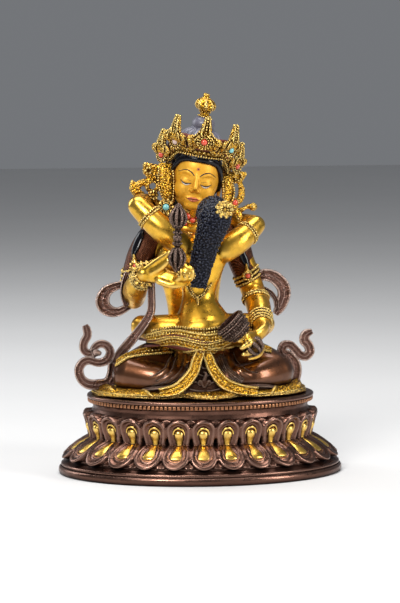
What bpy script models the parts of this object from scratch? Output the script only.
"""A seated yab-yum statue on an oval lotus base, in partly gilt copper.

The front faces -Y, +Z is up, and the origin is the centre of the underside.
Figure points are given in fingers, the share of the seated figure's height
that a carver measures with, and are counted from the middle of the seat.
"""

import math

import bmesh
import bpy
from mathutils import Euler, Matrix, Vector
from mathutils.bvhtree import BVHTree

# Driving dimensions, in metres
FIGURE_HEIGHT = 0.182
BASE_WIDTH = 0.172
BASE_DEPTH = 0.130
BASE_HEIGHT = 0.048
FOOT_HEIGHT = 0.0070
LEDGE_HEIGHT = 0.0023
LEDGE_INSET = 0.0056
WAIST_INSET = 0.0194
BAND_HEIGHT = 0.0057
BAND_INSET = 0.0203
RIM_HEIGHT = 0.0049
RIM_INSET = 0.0173
PETAL_BULGE = 0.0038
PETAL_COUNT = 26
CLEARANCE = 0.0003
VAJRA_LENGTH = 0.0406
VAJRA_RADIUS = 0.0050
BELL_MOUTH_RADIUS = 0.0092
BELL_BODY_HEIGHT = 0.0120
BELL_WALL = 0.0012
BELL_HANDLE_LENGTH = 0.0150
BELL_KNOB_RADIUS = 0.0064
STONE_RADIUS = 0.0019
STONE_HEIGHT = 0.0015

# What the sizes above give
FINGER = FIGURE_HEIGHT / 182.0
SEAT_TOP = BASE_HEIGHT + CLEARANCE
HEAD_CENTRE = Vector((-2.8, 0.5, 130.5))
HEAD_TURN = Euler((math.radians(4.0), math.radians(10.0), math.radians(-7.0)), "XYZ")
HEAD_RADII = (14.6, 16.8, 20.5)

# The crown in the head's own fingers, its five leaves from the statue's right to its left
CROWN_HALF_WIDTH, CROWN_HALF_DEPTH = 18.0, 19.5
LEAF_ANGLES = (-80, -46, 0, 46, 80)
LEAF_HEIGHTS = (16.5, 18.5, 20, 18.5, 16.5)
LEAF_WIDTHS = (6.4, 7.2, 8.9, 7.2, 6.4)
LEAF_FLARE = 6.2
LEAF_STATIONS = ((0.0, 0.6), (0.14, 0.95), (0.32, 1.0), (0.46, 0.66), (0.58, 0.38), (0.8, 0.32), (1.0, 0.2))
FAR_LEAF_FOOT = 0.45
STONE_REACHES = (0.06, 0.15, 0.30, 0.20, 0.20)

# Shape detail: how fine the castings are before and after thinning out
FIGURE_VOXEL = 0.0009
CROWN_VOXEL = 0.00055
DEITY_TRIANGLES = 2620
TAIL_BREADTH = 1.2
CONSORT_TRIANGLES = 900
CROWN_TRIANGLES = 950


def seat(x, y, z):
    """A figure point in fingers, from the middle of the seat, as a place in metres."""
    return Vector((x, y, z)) * FINGER + Vector((0, 0, SEAT_TOP))


def head_matrix():
    """The head's own frame, whose unit is one finger and whose -Y is the face."""
    turn = HEAD_TURN.to_matrix().to_4x4()
    return Matrix.Translation(seat(*HEAD_CENTRE)) @ turn @ Matrix.Scale(FINGER, 4)


def clear_scene():
    for obj in list(bpy.data.objects):
        bpy.data.objects.remove(obj)


def new_collection(name):
    collection = bpy.data.collections.new(name)
    bpy.context.scene.collection.children.link(collection)
    return collection


def new_material(name, colour, roughness, metallic):
    material = bpy.data.materials.new(name)
    material.use_nodes = True
    shader = material.node_tree.nodes["Principled BSDF"]
    shader.inputs["Base Color"].default_value = (*colour, 1.0)
    shader.inputs["Roughness"].default_value = roughness
    shader.inputs["Metallic"].default_value = metallic
    return material


def curved(values, per_span):
    """Values read from a smooth curve through the given ones, points or numbers alike."""
    made = []
    last = len(values) - 1
    for i in range(last):
        before, start = values[max(i - 1, 0)], values[i]
        end, after = values[i + 1], values[min(i + 2, last)]
        for step in range(per_span):
            t = step / per_span
            made.append(
                start * (1 + t * t * (2 * t - 3)) + end * (t * t * (3 - 2 * t))
                + (end - before) * (0.5 * t * (1 - t) ** 2)
                - (after - start) * (0.5 * t * t * (1 - t))
            )
    made.append(values[last])
    return made


def loft(mesh, rings):
    """Closes a run of rings, each with the same number of points, into one body."""
    made = [[mesh.verts.new(point) for point in ring] for ring in rings]
    sides = len(made[0])
    for low, high in zip(made, made[1:]):
        for i in range(sides):
            j = (i + 1) % sides
            mesh.faces.new((low[i], low[j], high[j], high[i]))
    mesh.faces.new(made[0][::-1])
    mesh.faces.new(made[-1])


def sweep(mesh, place, points, widths, depths, across=(1, 0, 0), sides=12, per_span=4):
    """A tube of changing oval section along a smooth line.

    widths and depths are half sizes, one for each point: the width lies near the
    direction across and the depth square to it. place turns a point into metres.
    """
    line = [place(point) for point in curved([Vector(p) for p in points], per_span)]
    unit = (place((1, 0, 0)) - place((0, 0, 0))).length
    turned = place(across) - place((0, 0, 0))
    wide, deep = curved(list(widths), per_span), curved(list(depths), per_span)
    rings = []
    for i, centre in enumerate(line):
        along = (line[min(i + 1, len(line) - 1)] - line[max(i - 1, 0)]).normalized()
        side = (turned - along * turned.dot(along)).normalized()
        normal = along.cross(side)
        rings.append([
            centre
            + side * (unit * wide[i] * math.cos(2 * math.pi * k / sides))
            + normal * (unit * deep[i] * math.sin(2 * math.pi * k / sides))
            for k in range(sides)
        ])
    loft(mesh, rings)


def ball(mesh, place, centre, radii, turn=(0, 0, 0), segments=20):
    """An egg shape with three half sizes, turned by angles in degrees."""
    angles = Euler([math.radians(angle) for angle in turn])
    frame = Matrix.Translation(Vector(centre)) @ angles.to_matrix().to_4x4()
    made = bmesh.ops.create_uvsphere(mesh, u_segments=segments, v_segments=segments // 2, radius=1)
    for vert in made["verts"]:
        shaped = Vector([c * r for c, r in zip(vert.co, radii)])
        vert.co = place(frame @ shaped)


def on_seat(point):
    return seat(*point)


def on_head(point):
    return head_matrix() @ Vector(point)


def limb(mesh, place, points, radii, sides=14):
    """A round limb with rounded ends."""
    sweep(mesh, place, points, radii, radii, across=(0.31, 0.2, 0.93), sides=sides)
    for end in (0, -1):
        ball(mesh, place, points[end], [radii[end] * 0.99] * 3)


def to_object(name, mesh, collection):
    """A bmesh as an object, with its faces pointing out."""
    bmesh.ops.recalc_face_normals(mesh, faces=mesh.faces)
    data = bpy.data.meshes.new(name)
    mesh.to_mesh(data)
    mesh.free()
    obj = bpy.data.objects.new(name, data)
    collection.objects.link(obj)
    return obj


def apply_modifiers(obj):
    bpy.context.view_layer.update()
    graph = bpy.context.evaluated_depsgraph_get()
    data = bpy.data.meshes.new_from_object(obj.evaluated_get(graph))
    obj.modifiers.clear()
    obj.data = data


def triangle_count(obj):
    return sum(len(face.vertices) - 2 for face in obj.data.polygons)


def fuse(obj, voxel, triangles):
    """Melts overlapping shapes into one casting and thins out its faces."""
    remesh = obj.modifiers.new("fuse", "REMESH")
    remesh.mode = "VOXEL"
    remesh.voxel_size = voxel
    soften = obj.modifiers.new("soften", "SMOOTH")
    soften.factor = 0.5
    soften.iterations = 2
    apply_modifiers(obj)
    thin = obj.modifiers.new("thin", "DECIMATE")
    thin.ratio = min(1.0, triangles / triangle_count(obj))
    apply_modifiers(obj)


def keep_largest(obj):
    """Drops the slivers that a cut leaves beside the main body."""
    mesh = bmesh.new()
    mesh.from_mesh(obj.data)
    left, groups = set(mesh.verts), []
    while left:
        group, edge = set(), [left.pop()]
        while edge:
            vert = edge.pop()
            group.add(vert)
            for link in vert.link_edges:
                other = link.other_vert(vert)
                if other in left:
                    left.discard(other)
                    edge.append(other)
        groups.append(group)
    groups.sort(key=len)
    stray = [vert for group in groups[:-1] for vert in group]
    bmesh.ops.delete(mesh, geom=stray, context="VERTS")
    mesh.to_mesh(obj.data)
    mesh.free()


def clearance_copy(obj, cutters, gap=CLEARANCE):
    """A copy of a piece grown by the gap, to cut its neighbours with."""
    copy = bpy.data.objects.new(obj.name + "_clearance", obj.data.copy())
    cutters.objects.link(copy)
    copy.hide_render = True
    copy.display_type = "WIRE"
    grow = copy.modifiers.new("grow", "DISPLACE")
    grow.strength = gap
    grow.mid_level = 0.0
    apply_modifiers(copy)
    return copy


def combine(obj, other, operation):
    change = obj.modifiers.new(operation.lower(), "BOOLEAN")
    change.operation = operation
    change.object = other
    apply_modifiers(obj)


def oval_angles(count, half_width, half_depth):
    """Angles round an oval that lie the same distance apart along its edge."""
    fine = 4000
    lengths = [0.0]
    for i in range(fine):
        a, b = 2 * math.pi * i / fine, 2 * math.pi * (i + 1) / fine
        lengths.append(lengths[-1] + math.hypot(
            half_width * (math.cos(b) - math.cos(a)), half_depth * (math.sin(b) - math.sin(a))
        ))
    angles, step = [], 0
    for k in range(count):
        wanted = lengths[-1] * k / count
        while lengths[step + 1] < wanted:
            step += 1
        angles.append(2 * math.pi * step / fine)
    return angles


def base_profile():
    """Rows of the lotus base: height, inset from the foot, petal relief, petal arching."""
    low_start = FOOT_HEIGHT + LEDGE_HEIGHT
    high_end = BASE_HEIGHT - RIM_HEIGHT - BAND_HEIGHT
    waist = low_start + 0.48 * (high_end - low_start)
    low, high = waist - low_start, high_end - waist
    slope = WAIST_INSET - LEDGE_INSET
    foot_round = 0.24 * FOOT_HEIGHT
    return [
        (0.0, 1.2 * foot_round, 0.0, 0.0),
        (foot_round, 0.0, 0.0, 0.0),
        (FOOT_HEIGHT - 1.2 * foot_round, 0.2 * foot_round, 0.0, 0.0),
        (FOOT_HEIGHT, 0.5 * LEDGE_INSET, 0.0, 0.0),
        (low_start, LEDGE_INSET, 0.0, 0.0),
        (low_start + 0.12 * low, LEDGE_INSET + 0.10 * slope, 0.5, -0.19 * low),
        (low_start + 0.50 * low, LEDGE_INSET + 0.32 * slope, 1.0, 0.0),
        (waist - 0.13 * low, LEDGE_INSET + 0.73 * slope, 0.95, 0.0),
        (waist, WAIST_INSET, 0.3, 0.0),
        (waist + 0.14 * high, WAIST_INSET, 0.8, 0.0),
        (waist + 0.50 * high, WAIST_INSET - 0.10 * slope, 0.95, 0.0),
        (high_end - 0.16 * high, WAIST_INSET - 0.12 * slope, 0.65, 0.19 * high),
        (high_end, BAND_INSET, 0.05, 0.06 * high),
        (BASE_HEIGHT - RIM_HEIGHT, BAND_INSET, 0.0, 0.0),
        (BASE_HEIGHT - 0.94 * RIM_HEIGHT, RIM_INSET + 0.0005, 0.0, 0.0),
        (BASE_HEIGHT - 0.16 * RIM_HEIGHT, RIM_INSET, 0.0, 0.0),
        (BASE_HEIGHT, RIM_INSET + 0.0011, 0.0, 0.0),
    ]


def build_base(parts, copper):
    columns_a_petal = 4
    angles = oval_angles(PETAL_COUNT * columns_a_petal, BASE_WIDTH / 2, BASE_DEPTH / 2)
    mesh = bmesh.new()
    rings = []
    for height, inset, relief, arch in base_profile():
        ring = []
        for k, angle in enumerate(angles):
            swell = 0.5 + 0.5 * math.cos(2 * math.pi * k / columns_a_petal)
            out = relief * PETAL_BULGE * swell ** 0.7 - inset
            ring.append((
                (BASE_WIDTH / 2 + out) * math.cos(angle),
                (BASE_DEPTH / 2 + out * BASE_DEPTH / BASE_WIDTH) * math.sin(angle),
                height + arch * (swell - 0.5),
            ))
        rings.append(ring)
    loft(mesh, rings)
    base = to_object("lotus_base", mesh, parts)
    base.data.materials.append(copper)
    return base


def add_deity_body(mesh):
    sweep(mesh, on_seat,
          [(0, 13, 1), (0, 12, 13), (-1, 11, 30), (-3, 8, 50), (-5, 5, 72), (-6, 4, 86),
           (-6, 6, 96), (-6, 6, 102)],
          [25, 26, 19, 15.5, 19.5, 24, 19, 8.5], [17, 18, 13, 11, 12.5, 12.5, 9.5, 7.5], sides=20)
    limb(mesh, on_seat, [(-6, 6, 98), (-5.5, 3, 108), (-4.5, 1, 116)], [8.2, 6.8, 7.4])
    for side in (-1, 1):
        ball(mesh, on_seat, (-6 + side * 11, -5, 82), (10.5, 5.5, 8.5))


def add_deity_arms(mesh):
    limb(mesh, on_seat, [(-28, 6, 93), (-37, 3, 76), (-41.5, -4, 58)], [9.3, 8.3, 7.0])
    limb(mesh, on_seat, [(-41.5, -4, 58), (-42.5, -22, 66), (-40.5, -37, 75)], [7.2, 7.0, 4.6])
    sweep(mesh, on_seat,
          [(-40.5, -37, 75), (-34, -42.5, 75.5), (-27, -46, 74), (-20, -47, 73), (-13, -46.5, 73)],
          [4.4, 5.2, 5.0, 4.2, 2.6], [3.4, 2.6, 2.4, 2.0, 1.4], across=(0.1, 0.2, 1))
    limb(mesh, on_seat, [(-39, -39, 77.5), (-33, -45, 83.6), (-27, -49.5, 88.5)], [2.6, 2.3, 1.7], sides=8)
    limb(mesh, on_seat, [(19, 7, 93), (27, 5, 76), (32.5, -1, 59)], [9.3, 8.4, 7.6])
    limb(mesh, on_seat, [(32.5, -1, 59), (32.6, -17, 51), (31.4, -32, 43)], [7.6, 7.4, 5.6])
    sweep(mesh, on_seat, [(31.4, -32, 43), (28.4, -39, 40), (23, -43.5, 36), (17.5, -46, 31)],
          [5.6, 6.0, 5.2, 2.8], [4.6, 3.6, 2.8, 2.0], across=(0.5, -0.2, 0.8))
    limb(mesh, on_seat, [(29, -41, 34), (24, -47, 28), (17, -50, 24)], [2.6, 2.3, 2.1], sides=8)


def add_deity_legs(mesh):
    for side in (-1, 1):
        knee = side * 43.5 - 0.5
        limb(mesh, on_seat, [(side * 13, 8, 15), (side * 29, -4, 17), (knee, -12, 12.5)],
             [14.5, 14.2, 11.8])
        limb(mesh, on_seat, [(knee, -12, 12.5), (side * 28, -22, 10), (side * 6, -25, 8)],
             [11.8, 10.2, 8.0])
    hem = [(-63, 4, 2.6), (-56, -18, 2.8), (-38, -29, 3), (-18, -33, 3), (0, -38, 3),
           (18, -33, 3), (38, -29, 3), (56, -18, 2.8), (60, 0, 2.6)]
    sweep(mesh, on_seat, hem, [5, 7, 7, 7, 7, 7, 7, 7, 5], [2.6] * 3 + [2.9] * 3 + [2.6] * 3,
          across=(0, 1, 0))
    ball(mesh, on_seat, (0, 4, 2), (60, 36, 3.2), segments=32)
    for side in (-1, 1):
        sweep(mesh, on_seat,
              [(side * 1.5 - 5, -33, 30), (side * 5 - 5, -37, 20), (side * 14 - 5, -38, 10),
               (side * 27 - 3, -34, 4)],
              [2.6, 3.2, 4.0, 4.2], [2.2, 2.2, 2.4, 2.4], across=(1, 0, 0))
    sweep(mesh, on_seat, [(-14, -38, 5), (-4, -41, 4), (8, -38, 5)], [5, 7, 5], [2.6, 3.0, 2.6],
          across=(0, 1, 0))


def add_deity_head(mesh):
    ball(mesh, on_head, (0, 0, 0), HEAD_RADII, segments=28)
    ball(mesh, on_head, (0, -3.5, -10), (11.5, 12.5, 11.5))
    ball(mesh, on_head, (0, 3, 5), (16.4, 17.0, 18.0), segments=28)
    limb(mesh, on_head, [(0, -15.5, 4), (0, -17.2, -2.5), (0, -18.4, -5.5)], [1.2, 1.5, 2.2], sides=8)
    ball(mesh, on_head, (0, -15.6, -10.2), (4.0, 2.0, 1.6))
    ball(mesh, on_head, (0, -12.6, -16.4), (4.6, 3.6, 3.4))
    for side in (-1, 1):
        sweep(mesh, on_head,
              [(side * 14.6, 0, 4), (side * 16.0, 0, -4), (side * 15.6, -0.5, -13),
               (side * 14.8, -1, -19)],
              [3.0, 3.6, 2.6, 1.6], [1.8, 1.8, 1.6, 1.3], across=(0, 1, 0))
        ball(mesh, on_head, (side * 18.0, -2.0, -17.5), (4.6, 2.6, 5.0))
    sweep(mesh, on_head, [(0, 2, 16), (0, 2, 21), (0, 2, 25), (0, 2, 29), (0, 2, 33.5), (0, 2, 37)],
          [12.5, 11.5, 11.0, 7.6, 7.0, 3.6], [12.5, 11.5, 11.0, 7.6, 7.0, 3.6], sides=18)
    sweep(mesh, on_head, [(-0.4, 2, 35.4), (-0.8, 2, 37.6), (-1.2, 2, 41.8), (-1.5, 2, 45.2), (-1.6, 2, 46.8), (-1.8, 2, 49.6)],
          [3.4, 3.0, 6.1, 4.6, 2.1, 1.9], [3.4, 3.0, 6.1, 4.6, 2.1, 1.9], sides=12)
    sweep(mesh, on_seat, [(-4, 15, 128), (-5, 20, 112), (-5, 21, 96), (-5, 18, 78), (-5, 17, 64)],
          [11, 13, 17, 15, 7], [6, 6, 5, 4, 3], sides=14)


def flat_ribbon(mesh, points, widths, thick=1.6, broad=1.0):
    """A ribbon that stands in the plane of the seat's long axis, broad side to the front."""
    breadths = [broad * width for width in widths]
    sweep(mesh, on_seat, points, [thick] * len(points), breadths, across=(0, 1, 0), sides=8, per_span=4)


def add_deity_scarf(mesh):
    """The long scarf: its loops beside the elbows and its tails on the seat."""
    flat_ribbon(mesh, [(-43, -3, 66), (-51, -3, 65), (-57.3, -3, 62), (-60.0, -3, 57), (-59.0, -3, 52.5),
                       (-55, -3, 49.6), (-50, -3, 49.5), (-44, -5, 53)],
                [2.0, 2.4, 3.4, 4.2, 4.2, 3.4, 2.6, 2.0])
    flat_ribbon(mesh, [(34, 0, 68), (39, -1, 70), (45.5, 0, 68), (50.4, 0, 62.7), (51.2, 0, 57),
                       (48.6, -1, 50.5), (45.6, -2, 46)],
                [2.6, 3.6, 4.0, 4.2, 4.0, 3.4, 1.8])
    flat_ribbon(mesh, [(37, -2, 62), (42, -2, 59.5), (45.5, -2, 55), (46.3, -2, 49)], [1.8, 1.8, 1.7, 1.5])
    sweep(mesh, on_seat,
          [(-35.8, -34, 73), (-35, -32, 62), (-35, -30, 52), (-38, -26.5, 45), (-44, -19, 35),
           (-50, -9, 25), (-53, -4, 15)],
          [2.6, 2.6, 2.8, 3.2, 3.6, 3.4, 3.4], [1.8] * 7, across=(0.6, -0.5, 0.2), sides=8)
    flat_ribbon(mesh, [(-53.5, -6, 19), (-54, -5, 12), (-57, -4, 6.8), (-63, -4, 5.8), (-69, -4, 6.3),
                       (-73, -3, 9.5), (-74.4, -3, 14.7), (-72.4, -3, 18.8), (-68.5, -3, 20.4),
                       (-62.5, -3, 18.9), (-57.6, -3, 20.4), (-55.4, -3, 25), (-57.6, -3, 29.2),
                       (-62, -3, 30.1), (-65.4, -3, 27), (-63.9, -3, 22.6)],
                [3.2, 3.2, 2.9, 2.7, 2.6, 2.4, 2.3, 2.2, 2.1, 2.1, 2.2, 2.2, 2.1, 2.0, 1.8, 1.5], broad=TAIL_BREADTH)
    flat_ribbon(mesh, [(-64.6, -3, 26.2), (-68.4, -3, 24.7), (-71.4, -3, 27), (-71.4, -3, 31),
                       (-69.2, -3, 35.4), (-69.6, -3, 39), (-70.6, -3, 41.6)],
                [1.8, 2.0, 2.1, 2.1, 2.1, 2.1, 1.5], broad=TAIL_BREADTH)
    flat_ribbon(mesh, [(54, -4, 3), (56.6, -3, 9), (56.6, -3, 15), (53.5, -3, 20), (49.4, -3, 23),
                       (50.4, -3, 27), (54.4, -3, 27.3), (57.6, -3, 24.4), (60.6, -3, 21.2),
                       (64, -3, 20.2), (66.6, -3, 23), (65.6, -3, 27), (63.2, -3, 30),
                       (64.2, -3, 33.6), (68, -3, 35.4)],
                [3.6, 3.9, 3.8, 3.2, 2.4, 2.2, 2.2, 2.2, 2.2, 2.3, 2.4, 2.5, 2.6, 2.4, 1.3], broad=TAIL_BREADTH)
    for side in (-1, 1):
        sweep(mesh, on_seat,
              [(side * 9 - 5, 16, 102), (side * 24 - 6, 14, 98), (side * 31 - 5, 9, 88),
               (side * 36 - 5, 7, 72)],
              [5, 6, 7, 5], [2.2, 2.4, 2.4, 2.2], across=(0, 0.9, 0.4), sides=10)
    limb(mesh, on_seat, [(12, 2, 106), (19, -3, 107.5), (24, -4, 109.5), (28, -4, 111.8), (31.3, -4, 111.3)],
         [3.0, 2.2, 1.7, 1.5, 2.3], sides=8)


def build_deity(parts, metal):
    mesh = bmesh.new()
    add_deity_body(mesh)
    add_deity_arms(mesh)
    add_deity_legs(mesh)
    add_deity_head(mesh)
    add_deity_scarf(mesh)
    deity = to_object("deity", mesh, parts)
    fuse(deity, FIGURE_VOXEL * FINGER * 1000, DEITY_TRIANGLES)
    deity.data.materials.append(metal)
    return deity


def build_consort(parts, metal):
    mesh = bmesh.new()
    sweep(mesh, on_seat,
          [(-2, -24, 30), (-3, -25, 38), (-3.5, -23, 46), (-4.5, -20.5, 59), (-4.0, -20.5, 72),
           (-3, -21, 84), (-2.5, -21.5, 91), (-2, -23, 97)],
          [18, 21.5, 16.5, 10.2, 12.6, 15.4, 13, 5.5], [14, 18, 14.5, 9.0, 9.5, 9.8, 8, 5.5], sides=20)
    for side in (-1, 1):
        limb(mesh, on_seat, [(side * 10 - 2, -24, 39), (side * 27, -20, 40), (side * 37, -9, 41)], [10.5, 9.0, 6.6])
        limb(mesh, on_seat, [(side * 37, -9, 41), (side * 33, 11, 36), (side * 19, 25, 32), (side * 4, 29.5, 31)],
             [6.8, 6.0, 5.0, 3.8])
        ball(mesh, on_seat, (side * -6, 30, 31), (9, 3.6, 4.2), (0, side * 12, 0))
    limb(mesh, on_seat, [(-14, -24, 90), (-28, -22, 101), (-40, -15, 113.5)], [7.4, 7.8, 6.4])
    limb(mesh, on_seat, [(-40, -15, 113.5), (-33, 2, 114), (-20, 14, 108)], [6.4, 5.6, 4.4])
    limb(mesh, on_seat, [(10, -24, 87), (20, -21, 93), (31, -14, 101)], [7.6, 7.6, 5.9])
    limb(mesh, on_seat, [(31, -14, 101), (25, 1, 102), (14, 13, 103)], [5.9, 5.2, 4.4])
    limb(mesh, on_seat, [(-1, -24, 96), (1, -29, 102), (1.5, -32, 107)], [4.8, 4.6, 5.0])
    ball(mesh, on_seat, (1.5, -34, 109.6), (10.4, 10.5, 11.2), (0, 12, 0), segments=24)
    sweep(mesh, on_seat,
          [(1.5, -38, 116.5), (1.5, -42, 109.5), (-1, -42, 100.5), (-3.5, -39, 91), (-6, -36.5, 79), (-7.5, -35, 66)],
          [6.8, 10.2, 9.6, 8.4, 7.4, 5.2], [4.5, 6.5, 5.2, 4.2, 3.6, 2.6], sides=14)
    ball(mesh, on_seat, (6, -45.6, 112.5), (5.2, 2.2, 5.2))
    consort = to_object("consort", mesh, parts)
    fuse(consort, FIGURE_VOXEL * FINGER * 1000, CONSORT_TRIANGLES)
    consort.data.materials.append(metal)
    return consort


def crown_point(angle, height, out=0.0):
    """A point of the crown's band, at an angle in degrees from the middle of the brow."""
    turn = math.radians(angle)
    drop = min(1.0, max(0.0, (abs(angle) - 40.0) / 48.0))
    return Vector((
        (CROWN_HALF_WIDTH + out) * math.sin(turn),
        2.5 - (CROWN_HALF_DEPTH + out) * math.cos(turn),
        16.0 - 10.5 * drop * drop * (3 - 2 * drop) + height,
    ))


def build_crown(parts, gilt):
    mesh = bmesh.new()
    band = [crown_point(angle, 0) for angle in range(-165, 170, 15)]
    sweep(mesh, on_head, band, [2.6] * len(band), [1.7] * len(band), across=(0, 0, 1), sides=8, per_span=2)
    for angle, height, width in zip(LEAF_ANGLES, LEAF_HEIGHTS, LEAF_WIDTHS):
        turn = math.radians(angle)
        across = Vector((math.cos(turn), math.sin(turn), 0))
        foot = FAR_LEAF_FOOT if abs(angle) > 60 else 0.0
        line = [crown_point(angle, 1 + height * reach, LEAF_FLARE * (foot + (1 - foot) * min(1.0, reach / 0.32)))
                for reach, wide in LEAF_STATIONS]
        thick = 1 + 0.9 * foot
        sweep(mesh, on_head, line, [width * wide for reach, wide in LEAF_STATIONS],
              [1.8 * thick, 2.2 * thick, 2.2 * thick, 1.9, 1.8, 1.7, 1.3], across=across, sides=10, per_span=2)
    add_crown_bows(mesh)
    crown = to_object("crown", mesh, parts)
    fuse(crown, CROWN_VOXEL * FINGER * 1000, CROWN_TRIANGLES)
    crown.data.materials.append(gilt)
    return crown


def add_crown_bows(mesh):
    """The knots beside the ears with their short ribbons and rings."""
    ball(mesh, on_head, (-23.6, 0, 0.5), (6.0, 3.2, 5.0))
    ball(mesh, on_head, (23.5, 0, 4.0), (5.6, 3.0, 3.8), (0, -12, 0))
    sweep(mesh, on_head, [(-25, 0, -2), (-28, 0, -7), (-26.5, -1, -11.5), (-23.5, -1, -14)],
          [1.6] * 4, [1.9, 2.1, 2.1, 2.0], across=(0, 1, 0), sides=8)
    turns = [math.radians(30 * step) for step in range(13)]
    ring = [(-22.8 + 3.1 * math.cos(turn), -1.0, -17.6 + 3.1 * math.sin(turn)) for turn in turns]
    sweep(mesh, on_head, ring, [1.5] * 13, [1.5] * 13, across=(0, 1, 0), sides=8, per_span=1)
    sweep(mesh, on_head, [(25.5, 0, 2), (28.6, 0, -3), (28.4, 0, -9), (25.4, -1, -13), (22.5, -1, -17)],
          [1.5] * 5, [1.8, 1.9, 1.8, 2.0, 1.6], across=(0, 1, 0), sides=8)
    sweep(mesh, on_head, [(-25, 1, -1), (-31, 1, -4), (-34, 1, -10), (-33, 1, -15)],
          [1.4] * 4, [1.8, 2.2, 2.2, 1.4], across=(0, 1, 0), sides=8)


def turned_along(name, start, end, stations, collection, sides=12):
    """A turned piece along a line from start to end: stations are (metres along, radius)."""
    along = (end - start).normalized()
    side = along.orthogonal().normalized()
    normal = along.cross(side)
    mesh = bmesh.new()
    loft(mesh, [[
        start + along * reach + side * (radius * math.cos(2 * math.pi * k / sides))
        + normal * (radius * math.sin(2 * math.pi * k / sides))
        for k in range(sides)
    ] for reach, radius in stations])
    return to_object(name, mesh, collection)


def build_vajra(parts, copper):
    foot, lean = seat(-23.4, -52.0, 76.8), Vector((0.04, 0.05, 1.0))
    half = [(0.0, 0.16), (0.05, 0.24), (0.11, 0.62), (0.19, 1.0), (0.28, 0.66), (0.32, 0.40), (0.41, 0.52),
            (0.46, 0.34), (0.5, 0.42)]
    shares = half + [(1 - reach, radius) for reach, radius in half[-2::-1]]
    stations = [(reach * VAJRA_LENGTH, radius * VAJRA_RADIUS) for reach, radius in shares]
    vajra = turned_along("vajra", foot, foot + lean, stations, parts, sides=10)
    vajra.data.materials.append(copper)
    return vajra


def build_bell(parts, cutters, copper):
    """The bell, its mouth up and inward, with a round vajra end under the hand."""
    neck = seat(16.2, -50.0, 38.8)
    aim = Vector((-0.69, 0.03, 0.72)).normalized()
    mouth, body, knob = BELL_MOUTH_RADIUS, BELL_BODY_HEIGHT, BELL_KNOB_RADIUS
    end = -BELL_HANDLE_LENGTH
    outer = [(end, 0.25 * knob), (end + 0.22 * knob, 0.7 * knob), (end + 0.85 * knob, knob),
             (end + 1.5 * knob, 0.62 * knob), (end + 1.75 * knob, 0.36 * knob), (-0.0005, 0.42 * knob),
             (0.0, 0.55 * mouth), (0.0022, 0.82 * mouth), (0.45 * body, 0.92 * mouth),
             (0.85 * body, 0.93 * mouth), (body, mouth)]
    bell = turned_along("bell", neck, neck + aim, outer, parts, sides=14)
    inner = [(0.0030, 0.45 * mouth), (0.0045, 0.86 * mouth - BELL_WALL), (0.45 * body, 0.92 * mouth - BELL_WALL),
             (0.85 * body, 0.93 * mouth - BELL_WALL), (body + 0.002, mouth - BELL_WALL * 0.5)]
    hollow = turned_along("bell_hollow", neck, neck + aim, inner, cutters, sides=14)
    hollow.hide_render = True
    hollow.display_type = "WIRE"
    combine(bell, hollow, "DIFFERENCE")
    bell.data.materials.append(copper)
    return bell


def set_stone(name, target, origin, direction, parts, material):
    """A domed stone, a clearance off the highest place that its rim would touch."""
    bpy.context.view_layer.update()
    tree = BVHTree.FromObject(target, bpy.context.evaluated_depsgraph_get())
    direction = Vector(direction).normalized()
    side = direction.orthogonal().normalized()
    rim = [side] + [Matrix.Rotation(math.radians(turn), 3, direction) @ side for turn in range(30, 360, 30)]
    starts = [origin] + [origin + offset * STONE_RADIUS for offset in rim]
    reaches = [tree.ray_cast(start, direction)[3] for start in starts]
    foot = origin + direction * (min(reach for reach in reaches if reach is not None) - CLEARANCE)
    stations = [(0.0, 0.92), (0.25, 1.0), (0.7, 0.72), (1.0, 0.2)]
    stone = turned_along(name, foot, foot - direction,
                         [(reach * STONE_HEIGHT, radius * STONE_RADIUS) for reach, radius in stations],
                         parts, sides=10)
    stone.data.materials.append(material)
    return stone


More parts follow.
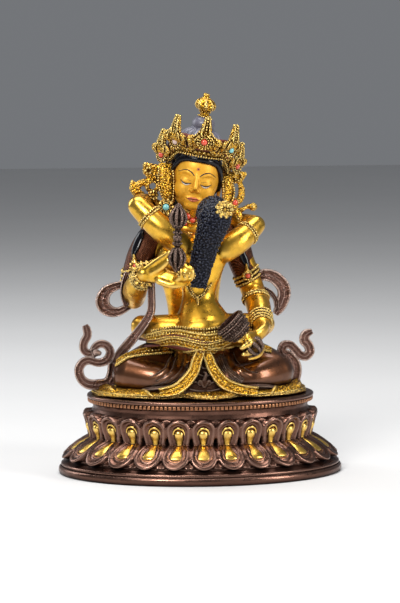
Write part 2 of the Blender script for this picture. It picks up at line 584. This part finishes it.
def build_stones(parts, crown, deity, coral, turquoise):
    colours = (coral, coral, coral, turquoise, coral)
    names = ("far_right", "right", "front", "left", "far_left")
    for name, angle, height, reach, material in zip(names, LEAF_ANGLES, LEAF_HEIGHTS, STONE_REACHES, colours):
        turn = math.radians(angle)
        out = Vector((math.sin(turn), -math.cos(turn), 0))
        origin = on_head(crown_point(angle, 1 + height * reach, 25))
        aim = head_matrix().to_3x3() @ -out
        set_stone("crown_stone_" + name, crown, origin, aim, parts, material)
    set_stone("armlet_stone_right", deity, seat(-70, -2, 76), (1, 0.1, 0), parts, coral)
    set_stone("armlet_stone_left", deity, seat(55, -30, 72), (-0.6, 0.8, 0), parts, coral)


def main():
    clear_scene()
    parts, cutters = new_collection("yab_yum_statue"), new_collection("cutters")
    copper = new_material("brown_copper", (0.23, 0.10, 0.06), 0.35, 1.0)
    gilt = new_material("gilding", (0.83, 0.56, 0.16), 0.28, 1.0)
    coral = new_material("coral", (0.62, 0.07, 0.03), 0.3, 0.0)
    turquoise = new_material("turquoise", (0.20, 0.60, 0.62), 0.35, 0.0)
    build_base(parts, copper)
    vajra = build_vajra(parts, copper)
    bell = build_bell(parts, cutters, copper)
    consort = build_consort(parts, gilt)
    deity = build_deity(parts, gilt)
    crown = build_crown(parts, gilt)
    vajra_room, bell_room = clearance_copy(vajra, cutters), clearance_copy(bell, cutters)
    for room in (vajra_room, bell_room):
        combine(consort, room, "DIFFERENCE")
    keep_largest(consort)
    consort_room = clearance_copy(consort, cutters)
    below = bmesh.new()
    bmesh.ops.create_cube(below, size=1.0)
    bmesh.ops.scale(below, vec=(2 * BASE_WIDTH, 2 * BASE_DEPTH, BASE_HEIGHT), verts=below.verts)
    bmesh.ops.translate(below, vec=(0, 0, SEAT_TOP - BASE_HEIGHT / 2), verts=below.verts)
    seat_room = to_object("seat_room", below, cutters)
    seat_room.hide_render = True
    seat_room.display_type = "WIRE"
    for room in (consort_room, vajra_room, bell_room, seat_room):
        combine(deity, room, "DIFFERENCE")
    keep_largest(deity)
    deity_room = clearance_copy(deity, cutters)
    for room in (deity_room, consort_room, vajra_room):
        combine(crown, room, "DIFFERENCE")
    keep_largest(crown)
    build_stones(parts, crown, deity, coral, turquoise)


main()
